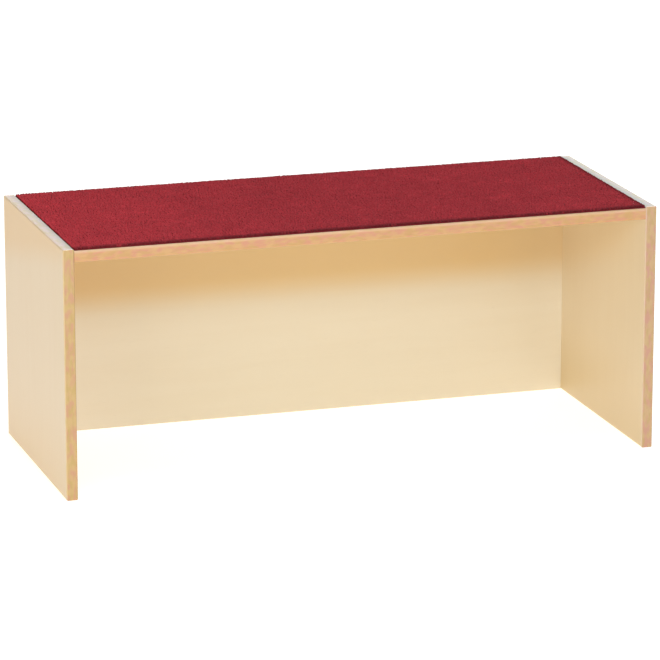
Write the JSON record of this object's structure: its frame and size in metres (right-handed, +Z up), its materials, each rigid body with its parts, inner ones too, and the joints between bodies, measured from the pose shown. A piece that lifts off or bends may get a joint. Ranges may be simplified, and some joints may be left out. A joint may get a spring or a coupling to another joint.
{
  "type": "carpeted bench",
  "caption": "Low open-fronted bench: two end panels, a back panel and a seat board with edge strips, topped with carpet.",
  "frame": {"origin": "middle of the footprint, on the floor", "axes": "+X to the right seen from the open front, +Y towards the back panel, +Z up"},
  "size_m": [1, 0.4, 0.4125],
  "materials": {
    "board_face": "satin",
    "edge_strip": "satin",
    "carpet": "matte",
    "dowel": "matte",
    "fitting": "satin",
    "cap": "matte"
  },
  "bodies": {
    "root": {"left_end_panel": "board_face", "right_end_panel": "board_face", "seat_panel": "board_face", "back_panel": "board_face", "left_front_strip": "edge_strip", "left_back_strip": "edge_strip", "left_top_strip": "edge_strip", "left_bottom_strip": "board_face", "right_front_strip": "edge_strip", "right_back_strip": "edge_strip", "right_top_strip": "edge_strip", "right_bottom_strip": "board_face", "seat_front_strip": "edge_strip", "seat_back_strip": "edge_strip", "back_panel_bottom_strip": "board_face", "seat_carpet": "carpet", "end_dowels": "dowel", "rail_dowels": "dowel", "cam_housings": "fitting", "cam_bolts": "fitting", "cam_caps": "cap"}
  },
  "joints": []
}
